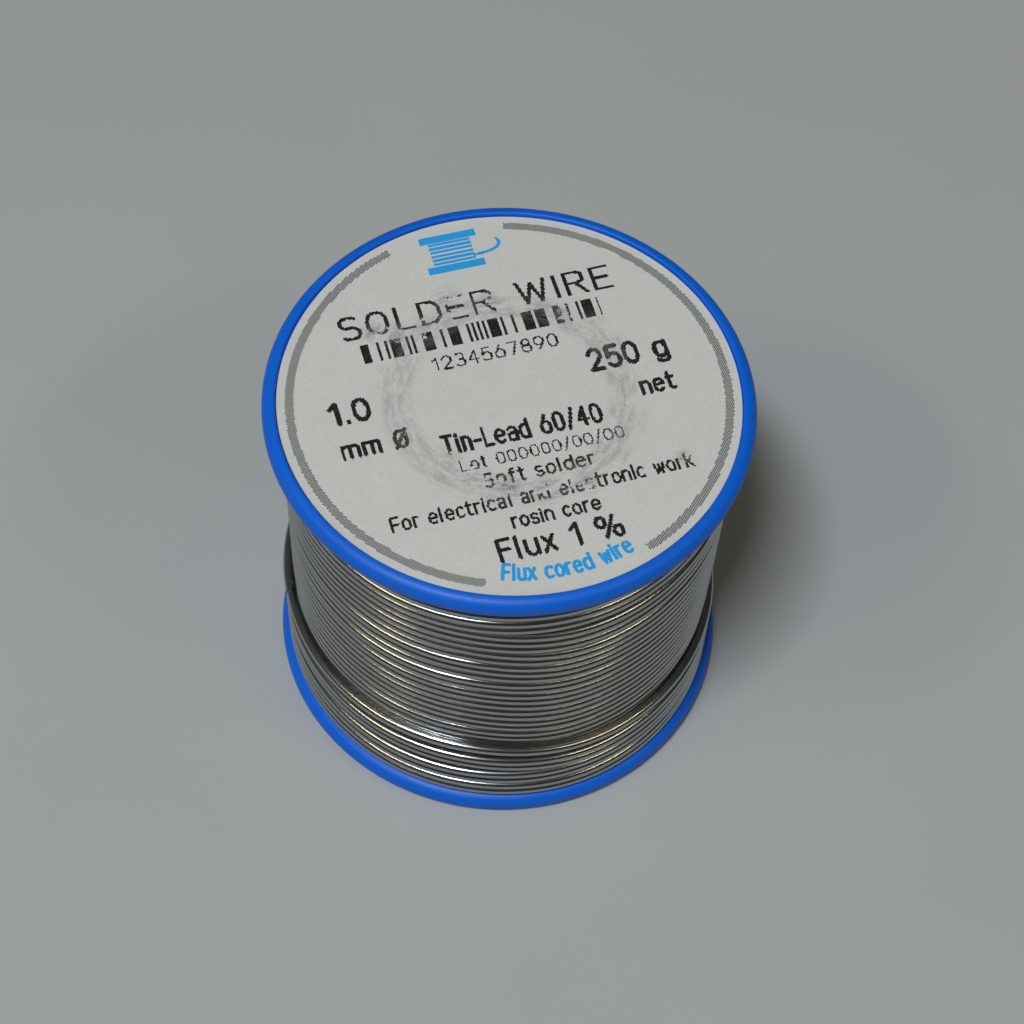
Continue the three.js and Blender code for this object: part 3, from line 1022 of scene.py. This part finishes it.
# Black thermal print: (words, left, right, base line, height of capitals, width of strokes)
BLACK_LINES = [
    ("SOLDER WIRE", -13.0, 12.7, 9.75, 2.5, 0.36),
    ("1234567890", -5.8, 5.9, 4.4, 1.4, 0.18),
    ("1.0", -16.1, -12.7, 0.85, 2.2, 0.44),
    ("mm Ø", -16.0, -10.1, -2.9, 1.75, 0.36),
    ("250 g", 8.1, 15.3, 0.85, 2.25, 0.44),
    ("net", 11.8, 14.8, -2.8, 1.75, 0.36),
    ("Tin-Lead 60/40", -7.2, 7.3, -4.7, 1.9, 0.34),
    ("Lot 000000/00/00", -6.3, 8.7, -6.85, 1.2, 0.15),
    ("Soft solder", -4.7, 5.3, -8.95, 1.35, 0.24),
    ("For electrical and electronic work", -13.7, 13.7, -11.4, 1.4, 0.24),
    ("rosin core", -3.5, 4.4, -13.6, 1.3, 0.26),
    ("Flux 1 %", -5.4, 5.6, -16.65, 2.1, 0.38),
]
BARCODE = (-11.7, 10.9, 6.7, 8.85)
ARCHED_WORDS = ("Flux cored wire", -6.4, 6.3, 1.15, 1.5)
ARCHED_WIDTH = 0.32
ARCH_RADIUS = 20.5


def barcode(sheet):
    """A bar code that codes nothing: bars of random width."""
    draw = random.Random(17)
    left, right, bottom, top = BARCODE
    module = THERMAL_DOT * 2
    x = left
    while x < right:
        width = module * draw.choice([1, 1, 1, 2, 3, 4])
        sheet.box(x, min(x + width, right), bottom, top)
        x += width + module * draw.choice([1, 1, 2, 3])


def black_print():
    sheet = Sheet(THERMAL_DOT)
    for words, left, right, base, height, width in BLACK_LINES:
        for stroke in word_strokes(words, left, right, base, height):
            sheet.stroke(stroke, width)
    barcode(sheet)
    sheet.rub(3)
    sheet.piece("label_black_print", print_look("black_print", rgb(0.012, 0.012, 0.016), 0.5), 21)


def blue_print():
    """A plain drawing of a spool with a loose wire end, and a line of words at the bottom."""
    sheet = Sheet(OFFSET_DOT)
    left, right, bottom, top = -3.4, 2.0, 15.2, 19.7
    flange, overhang = 0.85, 0.7
    sheet.box(left, right, bottom, bottom + flange)
    sheet.box(left, right, top - flange, top)
    turns = 6
    pitch = (top - bottom - 2 * flange) / turns
    for i in range(turns):
        y = bottom + flange + i * pitch
        sheet.box(left + overhang, right - overhang, y + pitch * 0.2, y + pitch * 0.85)
    sheet.stroke(arc(right - overhang, 17.6, 2.6, 1.0, -90, 20), 0.3)
    for stroke in word_strokes(*ARCHED_WORDS):
        sheet.stroke(arched(stroke, ARCH_RADIUS), ARCHED_WIDTH)
    sheet.piece("label_blue_print", print_look("blue_print", rgb(0.02, 0.40, 0.92), 0.4), 22)


RING_INNER = 19.45
RING_OUTER = 20.22
RING_SCREEN = 0.175  # the halftone's dots lie on a screen turned by 45 degrees
RING_DOT = 0.53  # half a dot, as a share of the screen
RING_GAPS = [(76, 109), (248, 291)]


def halftone_ring():
    """A grey ring of fine black dots, open at the drawing and at the lower words."""
    points = []
    faces = []
    reach = RING_SCREEN * RING_DOT
    step = RING_SCREEN / math.sqrt(2)
    count = math.ceil(RING_OUTER / step)
    for j in range(-count, count + 1):
        for i in range(-count, count + 1):
            if (i + j) % 2:
                continue
            x, y = i * step, j * step
            angle = math.degrees(math.atan2(y, x)) % TURN
            in_gap = any(low < angle < high for low, high in RING_GAPS)
            if in_gap or not RING_INNER < math.hypot(x, y) < RING_OUTER:
                continue
            first = len(points)
            square = [(x - reach, y), (x, y - reach), (x + reach, y), (x, y + reach)]
            points += [(px, py, LABEL_TOP - PRINT_SINK) for px, py in square]
            points += [(px, py, LABEL_TOP + PRINT_LIFT) for px, py in square]
            faces.append((first + 3, first + 2, first + 1, first))
            faces.append((first + 4, first + 5, first + 6, first + 7))
            for k in range(4):
                m = (k + 1) % 4
                faces.append((first + k, first + m, first + 4 + m, first + 4 + k))
    mesh = mesh_from("label_halftone_ring", points, faces)
    add_piece("label_halftone_ring", mesh, print_look("grey_print", rgb(0.07, 0.07, 0.075), 0.3))


label_disc()
black_print()
blue_print()
halftone_ring()

# ---------------------------------------------------------------------------------------------
# Studio
# ---------------------------------------------------------------------------------------------

FLOOR_SIZE = 4000
CAMERA_PLACE = Vector((-38.514, -115.278, 207.238))
CAMERA_AIM = Vector((0.861, 0.074, 20))
CAMERA_ROLL = 3.408
CAMERA_LENS = 80.74

# (name, azimuth, elevation, distance, length, width, power in watts, colour)
LAMPS = [
    ("key", 223, 66.5, 1000, 260, 110, 5.9, (0.92, 0.97, 1.0)),
    ("left", 194, 50, 900, 280, 70, 0.85, (1.0, 0.85, 0.48)),
    ("right", 313, 50, 900, 280, 70, 0.6, (1.0, 0.85, 0.48)),
]
ROOM_DARK = 0.035
ROOM_BRIGHT = 0.08  # a brighter wall behind, on the left
WALL_AZIMUTH = 135


def add_floor():
    half = FLOOR_SIZE / 2
    points = [(-half, -half, 0), (half, -half, 0), (half, half, 0), (-half, half, 0)]
    floor = bpy.data.objects.new("studio_floor", mesh_from("floor", points, [(0, 1, 2, 3)]))
    bpy.context.scene.collection.objects.link(floor)
    floor.data.materials.append(floor_look())


def add_lamp(name, azimuth, elevation, distance, length, width, power, colour):
    """A flat, level lamp that faces the spool."""
    around, up = math.radians(azimuth), math.radians(elevation)
    away = Vector((math.cos(around) * math.cos(up), math.sin(around) * math.cos(up), math.sin(up)))
    light = bpy.data.lights.new(name, "AREA")
    light.shape = "RECTANGLE"
    light.size = length * MM
    light.size_y = width * MM
    light.energy = power
    light.color = colour
    lamp = bpy.data.objects.new(name, light)
    lamp.location = (away * distance + Vector((0, 0, SPOOL_HEIGHT / 2))) * MM
    lamp.rotation_euler = away.to_track_quat("Z", "Y").to_euler()
    bpy.context.scene.collection.objects.link(lamp)


def add_camera():
    camera = bpy.data.objects.new("camera", bpy.data.cameras.new("camera"))
    camera.data.lens = CAMERA_LENS
    camera.data.clip_start = 10 * MM
    camera.location = CAMERA_PLACE * MM
    level = (CAMERA_AIM - CAMERA_PLACE).to_track_quat("-Z", "Y").to_matrix()
    turn = Matrix.Rotation(math.radians(CAMERA_ROLL), 3, "Z")
    camera.rotation_euler = (level @ turn).to_euler()
    bpy.context.scene.collection.objects.link(camera)
    bpy.context.scene.camera = camera


def add_room():
    """A dim room with one brighter wall."""
    world = bpy.data.worlds.new("room")
    world.use_nodes = True
    nodes, links = world.node_tree.nodes, world.node_tree.links
    direction = nodes.new("ShaderNodeTexCoord")
    towards_wall = nodes.new("ShaderNodeVectorMath")
    towards_wall.operation = "DOT_PRODUCT"
    wall = math.radians(WALL_AZIMUTH)
    towards_wall.inputs[1].default_value = (math.cos(wall), math.sin(wall), 0.2)
    strength = nodes.new("ShaderNodeMapRange")
    strength.interpolation_type = "SMOOTHSTEP"
    strength.inputs["From Min"].default_value = 0.3
    strength.inputs["From Max"].default_value = 0.8
    strength.inputs["To Min"].default_value = ROOM_DARK
    strength.inputs["To Max"].default_value = ROOM_BRIGHT
    background = nodes["Background"]
    background.inputs["Color"].default_value = rgb(0.94, 0.97, 1.0)
    links.new(direction.outputs["Generated"], towards_wall.inputs[0])
    links.new(towards_wall.outputs["Value"], strength.inputs["Value"])
    links.new(strength.outputs["Result"], background.inputs["Strength"])
    bpy.context.scene.world = world


add_floor()
for lamp in LAMPS:
    add_lamp(*lamp)
add_room()
add_camera()
bpy.context.scene.view_settings.view_transform = "Standard"
